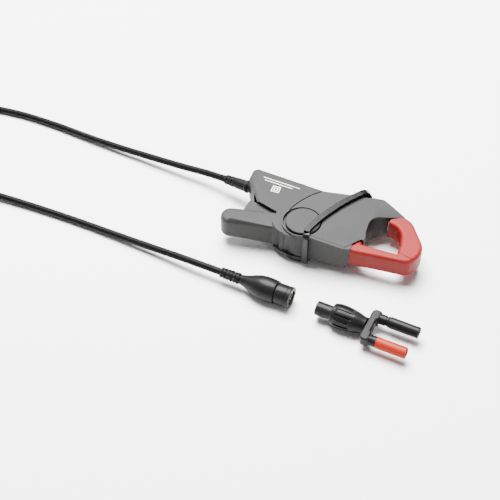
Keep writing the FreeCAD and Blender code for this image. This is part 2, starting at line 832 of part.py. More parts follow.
# ---------------------------------------------------------------- adapter
def jack_barrel():
    """The insulated barrel with its two lugs."""
    inner = contact_radius + 0.1 + liner_wall
    barrel = tube(jack_front, grip_start + 3.0, inner, barrel_radius)
    lug = Part.makeCylinder(lug_size, 2 * lug_radius, Vector(jack_front + 3.6, -lug_radius, 0),
        Vector(0, 1, 0))
    return along_plug(barrel.fuse(lug.cut(tube(0, 200, 0, inner + 0.02))))


def jack_liner():
    """The metal outer contact inside the barrel, with a floor that carries the insulator."""
    inner, outer = contact_radius + 0.1, contact_radius + 0.08 + liner_wall
    return along_plug(turned([
        (jack_front + 0.3, inner), (jack_front + 0.3, outer), (86.0, outer), (86.0, 2.5), (82.6, 2.5),
        (82.6, inner),
    ]))


def jack_insulator():
    return along_plug(tube(jack_front + 1.7, 85.8, 1.25, 2.4))


def jack_contact():
    """The socket that the plug's pin enters."""
    return along_plug(turned([
        (jack_front + 2.0, 0.75), (jack_front + 2.0, 1.2), (87.6, 1.2), (87.6, 0), (80.0, 0), (80.0, 0.75),
    ]))


def adapter_grip():
    """The round ribbed grip, bored for the jack and for the leads behind it."""
    room = barrel_radius + 0.03
    grip = turned([
        (grip_start, room), (grip_start, 6.9), (grip_start + 0.7, 7.4), (86.2, 8.0), (89.4, grip_radius),
        (95.4, grip_radius - 0.5),
        (98.4, 7.2), (grip_end, 6.5), (grip_end, 3.4), (87.8, 3.4), (87.8, 1.25), (86.05, 1.25),
        (86.05, 4.7),
        (grip_start + 3.05, 4.7), (grip_start + 3.05, room),
    ])
    for k in range(12):
        rib = Part.makeCylinder(0.6, 11.6, Vector(84.0, 0, grip_radius + 0.15), Vector(1, 0, 0))
        grip = grip.cut(rib.rotate(Vector(0, 0, 0), Vector(1, 0, 0), 30 * k))
    return along_plug(grip)


def tine_place(side):
    return side * pin_spacing / 2


def adapter_yoke():
    """The flat crossbar that carries both pins, with a black tine and a shorter root for the red collar."""
    half_width, half_height = pin_spacing / 2 + 3.6, 3.7
    bar = Part.makeBox(yoke_end - grip_end, 2 * half_width, 2 * half_height,
        Vector(grip_end, -half_width, -half_height))
    bar = bar.makeFillet(1.6, [e for e in bar.Edges if e.BoundBox.XLength > 5])
    black = tube(yoke_end, sheath_start, 0, 3.6)
    black.translate(Vector(0, tine_place(1), 0))
    bar = bar.fuse(black)
    for side in (1, -1):
        hole = tube(grip_end + 3.0, 200, 0, banana_root + seat)
        hole.translate(Vector(0, tine_place(side), 0))
        bar = bar.cut(hole)
    leads = Part.makeBox(3.0, pin_spacing + 2, 2.6, Vector(grip_end + 0.9, -pin_spacing / 2 - 1, -1.3))
    return along_plug(bar.cut(leads).cut(tube(grip_end - 1, grip_end + 1.0, 0, 2.4)))


def sheath_collar():
    """The red root between the yoke and the red sheath."""
    collar = tube(yoke_end, sheath_start - 1.6, banana_root + seat, 3.7)
    collar.translate(Vector(0, tine_place(-1), 0))
    return along_plug(collar)


def sheath(side, start):
    """A round shroud with an open mouth, a shallow waist behind it, and the pin's hole in its floor."""
    end = start + sheath_length
    shroud = turned([
        (start, banana_root + seat), (start, sheath_radius - 0.3), (start + 0.5, sheath_radius),
        (end - 0.5, sheath_radius), (end, sheath_radius - 0.4), (end, 3.1), (start + sheath_floor, 3.1),
        (start + sheath_floor, banana_root + seat),
    ])
    shroud.translate(Vector(0, tine_place(side), 0))
    return along_plug(shroud)


def red_start():
    return sheath_start - 1.6


def banana_pin(side):
    """A solid contact pin, recessed in its sheath."""
    start = red_start() if side < 0 else sheath_start
    end = start + sheath_length - 1.6
    shoulder = start + sheath_floor + 3 * seat
    pin = turned([
        (grip_end + 3.2, 0), (grip_end + 3.2, banana_root), (shoulder, banana_root),
        (shoulder, banana_radius),
        (end - 0.8, banana_radius), (end, banana_radius - 0.8), (end, 0),
    ])
    pin.translate(Vector(0, tine_place(side), 0))
    return along_plug(pin)


def adapter_leads():
    """Two strips in the yoke, from the jack's contacts to the pins."""
    strips = []
    for side in (1, -1):
        inner, outer = sorted((side * 1.2, tine_place(side)))
        strips.append(Part.makeBox(0.6, outer - inner, 1.6, Vector(grip_end + 2.4, inner, -0.8)))
    return along_plug(group(strips))


# ---------------------------------------------------------------- every node
def nodes():
    upper, lower = cover(True), cover(False)
    guard, moving_guard = guards()
    return {
        "upper_cover": upper,
        "lower_cover": lower,
        "finger_guard": guard,
        "fixed_jaw_tip": fixed_jaw_tip(),
        "fixed_core": slabbed_core(far_core_outline()),
        "coil_bobbin": coil_bobbin(),
        "coil_winding": coil_winding(),
        "pivot_pin": pivot_pin(),
        "return_spring": return_spring(),
        "circuit_board": circuit_board(),
        "burden_resistors": burden_resistors(),
        "limiter_diodes": limiter_diodes(),
        "range_switch": range_switch(),
        "case_screws": case_screws(),
        "coil_leads": coil_leads(),
        "signal_leads": signal_leads(),
        "cord_inner_end": cord_inner_end(),
        "cord_crimp_ring": cord_crimp_ring(),
        "cable_boot": cable_boot((upper, lower)),
        "cord_case_run": cord(case_points(), "cord from the clamp"),
        "cord_coil": cord_coil(),
        "cord_plug_run": cord(plug_points(), "cord to the plug"),
        "plug_boot": plug_boot(),
        "plug_cable_core": plug_cable_core(),
        "plug_body": plug_body(),
        "crimp_ferrule": crimp_ferrule(),
        "plug_shell": plug_shell(),
        "plug_insulator": plug_insulator(),
        "plug_center_pin": plug_pin(),
        "plug_gasket": plug_gasket(),
        "snap_ring": snap_ring(),
        "lever_arm": lever_arm(),
        "moving_jaw_tip": moving_jaw_tip(),
        "moving_core": slabbed_core(near_core_outline()),
        "core_leaf_spring": core_leaf_spring(),
        "pivot_bush": pivot_bush(),
        "moving_guard": moving_guard,
        "range_knob": range_knob(),
        "coupling_sleeve": coupling_sleeve(),
        "bayonet_ring": bayonet_ring(),
        "adapter_jack_barrel": jack_barrel(),
        "adapter_jack_liner": jack_liner(),
        "adapter_insulator": jack_insulator(),
        "adapter_socket_contact": jack_contact(),
        "adapter_grip": adapter_grip(),
        "adapter_yoke": adapter_yoke(),
        "adapter_leads": adapter_leads(),
        "sheath_collar": sheath_collar(),
        "black_sheath": sheath(1, sheath_start),
        "red_sheath": sheath(-1, red_start()),
        "black_pin": banana_pin(1),
        "red_pin": banana_pin(-1),
    }


def slabbed_core(path):
    """A stack of flat laminations."""
    return slab(path, -core_half, core_half)


os.makedirs("parts", exist_ok=True)
for name, shape in nodes().items():
    shape.exportStep(f"parts/{name}.step")
    print(f"{name}: {len(shape.Solids)} solid, {shape.Volume:.0f} cubic mm")
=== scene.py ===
# %% [markdown]
# # A clamp-on current probe for an oscilloscope
#
# The probe is a hand-sized clamp with two red jaw tips, a thin black cord that ends in a round plug, and
# a loose adapter with two shrouded pins. The lesson builds it round a fixed frame: the measured parts,
# already in place and in metres. What shows is modelled again with softer shapes, and each piece gets a
# finish.

# %% Load the measured frame
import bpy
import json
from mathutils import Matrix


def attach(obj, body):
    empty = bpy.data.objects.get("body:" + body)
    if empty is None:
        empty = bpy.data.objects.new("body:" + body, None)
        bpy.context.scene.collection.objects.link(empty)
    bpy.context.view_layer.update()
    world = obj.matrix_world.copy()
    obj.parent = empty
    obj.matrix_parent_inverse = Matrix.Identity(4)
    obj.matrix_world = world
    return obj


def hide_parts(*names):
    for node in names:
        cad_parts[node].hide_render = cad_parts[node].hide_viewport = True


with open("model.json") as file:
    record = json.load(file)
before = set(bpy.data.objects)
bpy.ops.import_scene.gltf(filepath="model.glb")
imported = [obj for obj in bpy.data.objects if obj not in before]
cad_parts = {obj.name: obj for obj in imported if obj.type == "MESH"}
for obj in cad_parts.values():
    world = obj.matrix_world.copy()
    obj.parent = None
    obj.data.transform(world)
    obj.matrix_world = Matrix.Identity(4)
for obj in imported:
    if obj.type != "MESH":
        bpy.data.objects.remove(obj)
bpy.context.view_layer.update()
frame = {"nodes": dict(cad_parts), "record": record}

# %% [markdown]
# ## Working in millimetres
#
# Blender works in metres, and the object is small, so sizes are written in millimetres and turned into
# metres in one place. The clamp is symmetrical about a level middle plane, so most heights are measured
# up or down from it.

# %% Units and the axes that pieces are placed on
import json
import math

import bpy
from mathutils import Vector

MM = 0.001
MIDDLE = 15.25
PLUG_AT = Vector((-42.0, -45.5, 8.2))
PLUG_TURN = math.radians(-6.7)
BOOT_AT = Vector((-49.0, 30.9, 15.2))
BOOT_WAY = Vector((-20.0, 5.1, -3.0)).normalized()
PLUG_WAY = Vector((math.cos(PLUG_TURN), math.sin(PLUG_TURN), 0.0))


def on_circle(radius, degrees, centre=(0.0, 0.0)):
    """The point of a circle at an angle."""
    turn = math.radians(degrees)
    return (centre[0] + radius * math.cos(turn), centre[1] + radius * math.sin(turn))


print("plug lies along", tuple(round(v, 3) for v in PLUG_WAY))

# %% [markdown]
# ## Camera
#
# The object is seen from its near side, a little from the right and from well above, through a long lens
# that keeps the proportions calm. The camera comes first, because the cords are judged by what it sees.

# %% Place the camera
AZIMUTH, ELEVATION = math.radians(19.5), math.radians(47.5)
DISTANCE = 0.82
AIM = Vector((-0.033, -0.013, 0.0))
BACK = Vector((
    math.sin(AZIMUTH) * math.cos(ELEVATION),
    -math.cos(AZIMUTH) * math.cos(ELEVATION),
    math.sin(ELEVATION),
))
aimed = (-BACK).to_track_quat("-Z", "Y").to_euler()
bpy.ops.object.camera_add(location=AIM + BACK * DISTANCE, rotation=aimed)
camera = bpy.context.object
camera.data.lens = 85
camera.data.clip_start = 0.05
bpy.context.scene.camera = camera
print("camera at", tuple(round(v, 3) for v in camera.location))

# %% [markdown]
# ## The cord
#
# One thin coaxial cord runs from the clamp's boot to the plug. It lies loosely on the table out of the
# picture, where its spare length is wound into a neat coil, and comes back beside itself. A curve is the
# right tool: a few control points give the soft bends of a real cord, and a round bevel gives its
# thickness. The coil is part of the same curve. Its turns lie in three layers, and the turns of the top
# layer pass over the one place where the cord crosses them in a long low hump.

# %% Wind the coil
COIL_CENTRE = Vector((-292.7, 16.5))
INNER_TURN, MIDDLE_TURN, OUTER_TURN = 22.5, 27.5, 32.5
LOW_LAYER, MIDDLE_LAYER, TOP_LAYER = 2.6, 7.6, 12.6
COIL_START, COIL_SWEEP = 115.0, 3022.0
POINTS_PER_TURN = 18
# Where each step to the next turn is done, in degrees wound, with the turn's radius and height after it.
COIL_STEPS = [
    (360, MIDDLE_TURN, LOW_LAYER), (720, INNER_TURN, LOW_LAYER), (1080, INNER_TURN, MIDDLE_LAYER),
    (1385, MIDDLE_TURN, MIDDLE_LAYER), (1745, OUTER_TURN, MIDDLE_LAYER), (2015, OUTER_TURN, TOP_LAYER),
    (2080, INNER_TURN, TOP_LAYER), (2340, MIDDLE_TURN, TOP_LAYER), (2700, OUTER_TURN, TOP_LAYER),
]
STEP_SWEEP = 50.0
# The turns wound after HUMP_FROM rise over the crossing cord, at this angle of each turn.
HUMP_FROM = 2340
HUMP_AT, HUMP_WIDTH, HUMP_HEIGHT = 238.0, 42.0, 5.2


def smooth_step(value):
    """Eases from 0 to 1, and stays there outside that range."""
    value = min(1.0, max(0.0, value))
    return value * value * (3 - 2 * value)


def coil_point(wound):
    """The cord's middle, in mm, after so many degrees of winding."""
    radius, height = OUTER_TURN, LOW_LAYER
    for done, next_radius, next_height in COIL_STEPS:
        share = smooth_step((wound - done + STEP_SWEEP) / STEP_SWEEP)
        radius += (next_radius - radius) * share
        height += (next_height - height) * share
    if wound > HUMP_FROM:
        apart = (wound % 360 - HUMP_AT) / HUMP_WIDTH
        height += HUMP_HEIGHT * math.exp(-apart * apart)
    return (*on_circle(radius, COIL_START + wound, COIL_CENTRE), height)


coil_count = round(COIL_SWEEP / 360 * POINTS_PER_TURN)
coil_points = [coil_point(COIL_SWEEP * k / coil_count) for k in range(coil_count + 1)]
print("coil:", len(coil_points), "points in", round(COIL_SWEEP / 360, 1), "turns")

# %% Lay the cord
CORD_RADIUS = 2.5
BOOT_LENGTH = 21.0
from_clamp = [
    BOOT_AT + BOOT_WAY * (BOOT_LENGTH - 6), BOOT_AT + BOOT_WAY * (BOOT_LENGTH + 14),
    (-106.0, 41.6, 8.2), (-140.0, 46.4, 5.4), (-176.0, 50.8, 3.6), (-214.0, 57.4, 2.7),
    (-250.0, 60.6, 2.6), (-282.0, 57.8, 2.6),
]
to_plug = [
    (-270.0, -22.4, 8.6), (-236.0, -26.4, 4.4), (-200.0, -26.6, 2.7), (-162.0, -29.2, 2.6),
    (-126.0, -33.4, 3.2), (-94.0, -38.0, 5.2), PLUG_AT - PLUG_WAY * 21, PLUG_AT + PLUG_WAY * 6,
]


def nurbs(name, points, radius):
    """A round cord along smooth control points."""
    curve = bpy.data.curves.new(name, "CURVE")
    curve.dimensions = "3D"
    line = curve.splines.new("NURBS")
    line.points.add(len(points) - 1)
    for point, place in zip(line.points, points):
        point.co = (*(Vector(place) * MM), 1.0)
        point.radius = radius * MM
    line.order_u = 3
    line.use_endpoint_u = True
    line.resolution_u = 6
    # The depth is multiplied by each point's radius, which is the cord's own, so the curve's box is true.
    curve.bevel_depth = 1.0
    curve.bevel_resolution = 5
    curve.use_fill_caps = True
    cord = bpy.data.objects.new(name, curve)
    bpy.context.scene.collection.objects.link(cord)
    return cord


probe_cord = nurbs("probe_cord", [*from_clamp, *coil_points, *to_plug], CORD_RADIUS)
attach(probe_cord, "case")
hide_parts("cord_case_run", "cord_coil", "cord_plug_run")
print("cord control points:", len(probe_cord.data.splines[0].points))

# %% [markdown]
# ## Finishes
#
# Almost everything on the probe is moulded plastic. What tells one plastic from another is its colour,
# how sharply it reflects, and the fine grain of its mould, so one recipe makes them all: noise shifts the
# colour and the roughness a little, and a finer noise gives the grain as bump. Numbers that are the same
# all over go straight on the shader.

# %% A recipe for moulded plastic, rubber and metal
finishes = {}


def finish(name, colour, rough, vary=0.12, grain=1500.0, bump=0.12, metal=0.0, coat=0.0, patch=60.0,
           edge_highlight=None, shine=0.16):
    """A surface whose colour and gloss wander a little, with a fine grain."""
    made = bpy.data.materials.new(name)
    made.use_nodes = True
    nodes, links = made.node_tree.nodes, made.node_tree.links
    shader = nodes["Principled BSDF"]
    shader.inputs["Metallic"].default_value = metal
    shader.inputs["Coat Weight"].default_value = coat
    shader.inputs["Specular IOR Level"].default_value = shine
    shader.inputs["Coat Roughness"].default_value = 0.25
    place = nodes.new("ShaderNodeTexCoord")
    broad = nodes.new("ShaderNodeTexNoise")
    broad.inputs["Scale"].default_value = patch
    broad.inputs["Detail"].default_value = 5.0
    tint = nodes.new("ShaderNodeValToRGB")
    tint.color_ramp.elements[0].position, tint.color_ramp.elements[1].position = 0.3, 0.7
    tint.color_ramp.elements[0].color = (*(c * (1 - vary) for c in colour), 1)
    tint.color_ramp.elements[1].color = (*(min(1.0, c * (1 + vary)) for c in colour), 1)
    gloss = nodes.new("ShaderNodeMapRange")
    gloss.inputs["To Min"].default_value = max(0.03, rough - 0.06)
    gloss.inputs["To Max"].default_value = min(1.0, rough + 0.06)
    fine = nodes.new("ShaderNodeTexNoise")
    fine.inputs["Scale"].default_value = grain
    fine.inputs["Detail"].default_value = 2.0
    relief = nodes.new("ShaderNodeBump")
    relief.inputs["Strength"].default_value = bump
    relief.inputs["Distance"].default_value = 0.0001
    links.new(place.outputs["Object"], broad.inputs["Vector"])
    links.new(place.outputs["Object"], fine.inputs["Vector"])
    links.new(broad.outputs["Fac"], tint.inputs["Fac"])
    links.new(fine.outputs["Fac"], gloss.inputs["Value"])
    links.new(fine.outputs["Fac"], relief.inputs["Height"])
    links.new(gloss.outputs["Result"], shader.inputs["Roughness"])
    links.new(relief.outputs["Normal"], shader.inputs["Normal"])
    surface = tint.outputs["Color"]
    # Raised edges get a painted highlight: their colour is mixed towards a lighter one where the surface is
    # pointy.
    if edge_highlight:
        surface = paint_edge_highlight(nodes, links, surface, edge_highlight)
    links.new(surface, shader.inputs["Base Color"])
    finishes[name] = made


def paint_edge_highlight(nodes, links, surface, edge_highlight):
    """Lightens the raised edges, a painted highlight where the surface is pointy."""
    ridge = nodes.new("ShaderNodeNewGeometry")
    amount = nodes.new("ShaderNodeMapRange")
    amount.inputs["From Min"].default_value = 0.52
    amount.inputs["From Max"].default_value = 0.66
    amount.inputs["To Max"].default_value = 0.45
    mix = nodes.new("ShaderNodeMix")
    mix.data_type = "RGBA"
    mix.inputs["B"].default_value = (*edge_highlight, 1)
    links.new(ridge.outputs["Pointiness"], amount.inputs["Value"])
    links.new(amount.outputs["Result"], mix.inputs["Factor"])
    links.new(surface, mix.inputs["A"])
    return mix.outputs["Result"]


# The grey shell gets a painted highlight on its raised edges.
finish("grey_shell", (0.0225, 0.0218, 0.0216), 0.55, 0.07, 2600, 0.22, edge_highlight=(0.07, 0.07, 0.07))
finish("dark_guard", (0.006, 0.006, 0.006), 0.2, 0.08, 2600, 0.06, shine=0.13)
finish("red_tip", (0.17, 0.005, 0.0035), 0.5, 0.05, 2200, 0.12)
finish("core_steel", (0.32, 0.32, 0.33), 0.35, 0.15, 900, 0.2, metal=1.0)
finish("bobbin_plastic", (0.75, 0.73, 0.66), 0.5)
finish("enamelled_wire", (0.55, 0.16, 0.04), 0.3, coat=0.6)
finish("bright_steel", (0.62, 0.62, 0.63), 0.28, metal=1.0, grain=800)
finish("board_green", (0.02, 0.16, 0.05), 0.35, coat=0.4)
finish("black_component", (0.02, 0.02, 0.02), 0.45)
finish("diode_glass", (0.65, 0.2, 0.06), 0.15, coat=0.8)
finish("lead_insulation", (0.6, 0.6, 0.58), 0.4)
finish("cord_jacket", (0.003, 0.003, 0.003), 0.4, 0.15, 1200, 0.15, patch=180, shine=0.06)
finish("plug_silver", (0.72, 0.71, 0.69), 0.2, metal=1.0, grain=900, bump=0.08)
finish("black_boot", (0.005, 0.005, 0.005), 0.42, 0.15, 1800, 0.2, shine=0.08)
finish("white_insulator", (0.85, 0.85, 0.82), 0.4)
# The black moulding also gets a painted highlight on its raised edges.
finish(
    "black_moulding", (0.006, 0.006, 0.006), 0.36, 0.12, 2000, 0.16, edge_highlight=(0.012, 0.012, 0.012),
    shine=0.1,
)
finish("gold_contact", (0.83, 0.58, 0.24), 0.22, metal=1.0)
finish("seal_rubber", (0.02, 0.018, 0.017), 0.6)
finish("bush_brass", (0.7, 0.48, 0.2), 0.3, metal=1.0)
finish("red_sheath_plastic", (0.24, 0.012, 0.003), 0.45, 0.06, 2200, 0.12)
print("finishes:", len(finishes))

# %% Give every frame part its finish
for part in frame["record"]["subparts"]:
    node = frame["nodes"][part["node"]]
    node.data.materials.clear()
    node.data.materials.append(finishes[part["material_slot"]])
probe_cord.data.materials.append(finishes["cord_jacket"])

# %% [markdown]
# ## Modelling helpers
#
# The new pieces start as primitives: a filled ring of corners for a flat moulding, a plain ring for a
# lathe profile. They are raised, spun, cut and bevelled with the usual operators. An operator acts on all
# that is selected, so each helper clears the selection first and then picks what it needs by place.

# %% Selecting
def alone(piece):
    """Leaves edit mode and selects only this piece."""
    if bpy.context.object and bpy.context.object.mode != "OBJECT":
        bpy.ops.object.mode_set(mode="OBJECT")
    bpy.ops.object.select_all(action="DESELECT")
    piece.select_set(True)
    bpy.context.view_layer.objects.active = piece


def open_whole(piece):
    """Opens a piece for editing with everything selected."""
    alone(piece)
    bpy.ops.object.mode_set(mode="EDIT")
    bpy.ops.mesh.select_all(action="SELECT")


def pick(piece, wanted):
    """Opens a piece for editing with the edges selected whose two ends the test accepts, in mm."""
    alone(piece)
    bpy.context.tool_settings.mesh_select_mode = (False, True, False)
    mesh = piece.data
    for item in (*mesh.vertices, *mesh.polygons):
        item.select = False
    for edge in mesh.edges:
        a, b = (mesh.vertices[i].co / MM for i in edge.vertices)
        edge.select = bool(wanted(a, b))
    bpy.ops.object.mode_set(mode="EDIT")


def round_edges(piece, radius, wanted, segments=4):
    """Rounds the picked edges."""
    pick(piece, wanted)
    bpy.ops.mesh.bevel(
        offset=radius * MM, offset_type="OFFSET", segments=segments, affect="EDGES", clamp_overlap=False,
    )
    bpy.ops.mesh.select_all(action="SELECT")
    bpy.ops.mesh.remove_doubles(threshold=0.02 * MM)
    bpy.ops.mesh.normals_make_consistent(inside=False)
    bpy.ops.object.mode_set(mode="OBJECT")


print("the clamp's middle plane is", MIDDLE, "mm up")

# %% Raising, lathing and cutting
def outline(path, step=1.2):
    """The corners of a closed outline. An item is a corner, or an arc's middle and its end."""
    ends = [p[1] if isinstance(p[0], tuple) else p for p in path]
    corners = []
    for before, p, end in zip([ends[-1], *ends], path, ends):
        if isinstance(p[0], tuple):
            corners += arc(Vector(before), Vector(p[0]), Vector(end), step)
        corners.append(end)
    return corners


def circle_through(start, middle, end):
    """The circle through three points: its centre, its radius, and the arc's first angle and sweep."""
    a, b = middle - start, end - start
    turn = 2 * (a.x * b.y - a.y * b.x)
    out = Vector((b.y * a.dot(a) - a.y * b.dot(b), a.x * b.dot(b) - b.x * a.dot(a))) / turn
    first = math.atan2(-out.y, -out.x)
    sweep = (math.atan2(b.y - out.y, b.x - out.x) - first) % (2 * math.pi)
    return start + out, out.length, first, sweep - (2 * math.pi if turn < 0 else 0)


def arc(start, middle, end, step):
    """Points between the ends of the arc through three points."""
    centre, radius, first, sweep = circle_through(start, middle, end)
    count = max(3, round(abs(sweep) * radius / step))
    angles = (first + sweep * k / count for k in range(1, count))
    return [(centre.x + radius * math.cos(t), centre.y + radius * math.sin(t)) for t in angles]


def plate(name, corners, low, high):
    """A flat moulding: a ring of corners, filled and raised between two heights from the middle plane."""
    bpy.ops.mesh.primitive_circle_add(vertices=len(corners), fill_type="NGON")
    piece = bpy.context.object
    piece.name = piece.data.name = name
    for vertex, (x, y) in zip(piece.data.vertices, corners):
        vertex.co = Vector((x, y, MIDDLE + low)) * MM
    open_whole(piece)
    bpy.ops.mesh.extrude_region_move(TRANSFORM_OT_translate={"value": (0, 0, (high - low) * MM)})
    bpy.ops.mesh.select_all(action="SELECT")
    bpy.ops.mesh.normals_make_consistent(inside=False)
    bpy.ops.object.mode_set(mode="OBJECT")
    return piece


def disc(name, x, y, radius, low, high, corners=72):
    """A round plate."""
    turns = (2 * math.pi * k / corners for k in range(corners))
    return plate(name, [(x + radius * math.cos(t), y + radius * math.sin(t)) for t in turns], low, high)


def sector(name, radius, first, last, low, high, centre=(0.0, 0.0)):
    """A slice of a disc, between two angles."""
    steps = 24
    rim = [on_circle(radius, first + (last - first) * k / steps, centre) for k in range(steps + 1)]
    return plate(name, [centre, *rim], low, high)


def block(name, x0, x1, y0, y1, low, high):
    """A plate with four square corners."""
    return plate(name, [(x0, y0), (x1, y0), (x1, y1), (x0, y1)], low, high)


def combine(piece, other, operation):
    """Fuses or cuts a piece with another, which is used up."""
    step = piece.modifiers.new("combine", "BOOLEAN")
    step.operation, step.object, step.solver = operation, other, "EXACT"
    alone(piece)
    bpy.ops.object.modifier_apply(modifier=step.name)
    bpy.data.objects.remove(other)
    return piece


def slice_off(piece, point, normal):
    """Cuts away what lies beyond a plane through a point, both in mm, and closes the cut."""
    open_whole(piece)
    bpy.ops.mesh.bisect(
        plane_co=Vector(point) * MM, plane_no=normal, use_fill=True, clear_outer=True, threshold=0.00001,
    )
    bpy.ops.object.mode_set(mode="OBJECT")


def copy_of(piece, name, flipped=False):
    """A copy with its own mesh, turned over about the middle plane if asked."""
    twin = piece.copy()
    twin.data = piece.data.copy()
    twin.name = twin.data.name = name
    bpy.context.scene.collection.objects.link(twin)
    if flipped:
        for vertex in twin.data.vertices:
            vertex.co.z = 2 * MIDDLE * MM - vertex.co.z
        open_whole(twin)
        bpy.ops.mesh.flip_normals()
        bpy.ops.object.mode_set(mode="OBJECT")
    return twin


def finished(piece, body, slot, stands_for=(), smooth=32, soften=0.0):
    """Softens the edges, shades the piece, and puts it in the frame with its finish."""
    alone(piece)
    if soften:
        open_whole(piece)
        bpy.ops.mesh.remove_doubles(threshold=0.01 * MM)
        bpy.ops.object.mode_set(mode="OBJECT")
        bevel = piece.modifiers.new("soften", "BEVEL")
        bevel.width, bevel.segments, bevel.limit_method = soften * MM, 2, "ANGLE"
        bevel.angle_limit = math.radians(32)
        bevel.use_clamp_overlap = True
        bpy.ops.object.modifier_apply(modifier=bevel.name)
    bpy.ops.object.shade_smooth_by_angle(angle=math.radians(smooth))
    even = piece.modifiers.new("even", "WEIGHTED_NORMAL")
    even.keep_sharp, even.weight = True, 100
    bpy.ops.object.modifier_apply(modifier=even.name)
    piece.data.materials.clear()
    piece.data.materials.append(finishes[slot])
    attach(piece, body)
    if stands_for:
        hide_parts(*stands_for)
    print(piece.name, len(piece.data.polygons), "faces, rides on", body)
    return piece


print("helpers ready")

# %% [markdown]
# ## The covers
#
# Two mirrored half shells make the clamp's body. Each is a flat handle with a soft far edge, a raised
# front that slopes away ahead of the finger guard, and a round boss over the pivot with a fine groove
# round it. Seen from above these are three outlines, so each is drawn, raised and rounded on its own, and
# then fused. The lever and the near jaw move in a gap between the covers, so that room is cut out last,
# as is the hollow for the coil and the board.

# %% The covers' outlines
HANDLE_HALF, FRONT_HALF, BOSS_HALF, LAYER_HALF = 10.7, 12.3, 13.0, 9.0
HUB_RADIUS, BOSS_RADIUS = 13.4, 14.0
LID_EDGE = -10.3
REST_RADIUS = 12.5
# The raised front begins in an arc step across the handle.
STEP_CENTRE, STEP_RADIUS = (37.88, -7.08), 52.33
handle_outline = outline([
    (-36.4, 10.4), (-49.0, 30.2), (-49.0, 36.1), ((-48.1, 40.0), (-44.6, 41.6)), (8.0, 35.4),
    (8.0, -8.0), ((-1.0, -14.0), (-10.0, -12.8)), ((-17.6, -8.4), (-20.2, -1.8)), (-19.5, 4.4),
])
throat_edge = [
    (41.2, -4.2), ((43.6, 0.8), (42.8, 6.5)), (42.6, 13.0), ((44.6, 20.4), (50.8, 24.7)), (63.1, 31.3),
]
front_outline = outline([
    (on_circle(BOSS_RADIUS, -143), on_circle(BOSS_RADIUS, -85)), (9.7, -12.4), (32.2, -12.4), *throat_edge,
    (63.9, 32.2), (46.5, 40.4), ((40.0, 42.97), (33.0, 42.7)), (15.0, 38.2), (7.6, 35.6),
    ((-6.9, 20.0), on_circle(BOSS_RADIUS, 158)),
])
print("handle corners:", len(handle_outline), "front corners:", len(front_outline))

# %% Raise the handle, the front and the boss
def on_far_side(a, b):
    """Whether an edge runs level, well above the middle plane."""
    return min(a.z, b.z) > MIDDLE + 5 and abs(a.z - b.z) < 0.01


def on_rim(a, b, half):
    """Whether an edge runs along the top or the bottom of a moulding."""
    return abs(abs(a.z - MIDDLE) - half) < 0.01 and abs(a.z - b.z) < 0.01


def front_top(x, y):
    """The front's top, which falls by a tenth ahead of the guard."""
    ahead = (x - 6.6) * 0.863 - (y + 9.2) * 0.506
    return (x, y, MIDDLE + FRONT_HALF - 0.10 * ahead)


def fall_away(piece):
    """Slopes a top down ahead of the guard, in two facets that meet in a crease."""
    slice_off(piece, front_top(6.6, -9.2), (0.0863, -0.0506, 1.0))
    slice_off(piece, front_top(14.4, -4.8), (0.1228, -0.0983, 1.0))


body = plate("upper_shell", handle_outline, 0, HANDLE_HALF)
round_edges(body, 3.0, lambda a, b: on_far_side(a, b) and (min(a.y, b.y) > 25 or max(a.x, b.x) < -36), 6)
front = plate("front", front_outline, 0, FRONT_HALF)
round_edges(front, 3.0, lambda a, b: on_far_side(a, b) and min(a.y, b.y) > 31.5 and min(a.x, b.x) > 7, 6)
fall_away(front)
slice_off(front, front_top(44.8, 17.0), (0.2226, -0.039, 1.0))
slice_off(front, (38.0, 38.4, 26.0), (-0.09, 0.64, 0.77))
boss = disc("boss", 0.5, 0.3, BOSS_RADIUS - 2.0, 0, BOSS_HALF)
round_edges(boss, 0.9, on_far_side, 4)
groove = disc("groove", 0, 0, BOSS_RADIUS - 0.65, FRONT_HALF - 2.4, FRONT_HALF + 4)
step_groove = combine(
    sector("step_groove", STEP_RADIUS - 0.4, 126.2, 163.5, FRONT_HALF - 1.0, FRONT_HALF + 3, STEP_CENTRE),
    sector("step_core", STEP_RADIUS - 1.3, 110, 178, -5, 20, STEP_CENTRE), "DIFFERENCE",
)
combine(body, front, "UNION")
combine(body, step_groove, "DIFFERENCE")
combine(body, groove, "DIFFERENCE")
combine(body, boss, "UNION")
print("shell faces:", len(body.data.polygons))

# %% Cut the room for the moving jaw and hollow the shell
# Before it is hollowed, the shell is kept as one solid of both halves. They lap a little, so that they fuse.
LAP = 0.3
solid_top, solid_body = copy_of(body, "solid_top"), copy_of(body, "solid_body", flipped=True)
for half, shift in ((solid_top, -LAP), (solid_body, LAP)):
    for vertex in half.data.vertices:
        if abs(vertex.co.z / MM - MIDDLE) < 0.01:
            vertex.co.z += shift * MM
combine(solid_body, solid_top, "UNION")


def moving_room(name):
    """The room that the lever, its web and the near jaw sweep."""
    room = sector(name, 43.9, 146, 270, -1, LAYER_HALF)
    jaw_room = plate("jaw_room", [(-1, 0.01), (100, 0.01), (100, -40), (-1, -40)], -1, LAYER_HALF)
    combine(room, jaw_room, "UNION")
    lever_room = plate("lever_room", [
        (-70, 8), (-41, 8), (-30, -2), (-1, -2), (-1, -40), (-70, -40),
    ], -1, LAYER_HALF)
    combine(room, lever_room, "UNION")
    rim_slot = plate("rim_slot", [
        (5.0, -40), (5.0, -13.7), (9.4, LID_EDGE), (90, LID_EDGE), (90, -40),
    ], -1, 40)
    return combine(room, rim_slot, "UNION")


hollow = plate("hollow", outline([
    (-35.2, 12.4), (-47.0, 30.8), (-47.0, 34.1), ((-46.1, 38.0), (-42.6, 39.6)), (0.0, 34.3), (15.6, 36.0),
    (34.8, 40.8), (47.0, 37.6), (46.5, 27.0), (44.0, 24.5), (40.8, 16.0), (40.8, 0.2), (-16.0, 0.2),
]), -1, LAYER_HALF)
combine(body, moving_room("moving_room"), "DIFFERENCE")
combine(body, hollow, "DIFFERENCE")
print("shell faces after hollowing:", len(body.data.polygons))

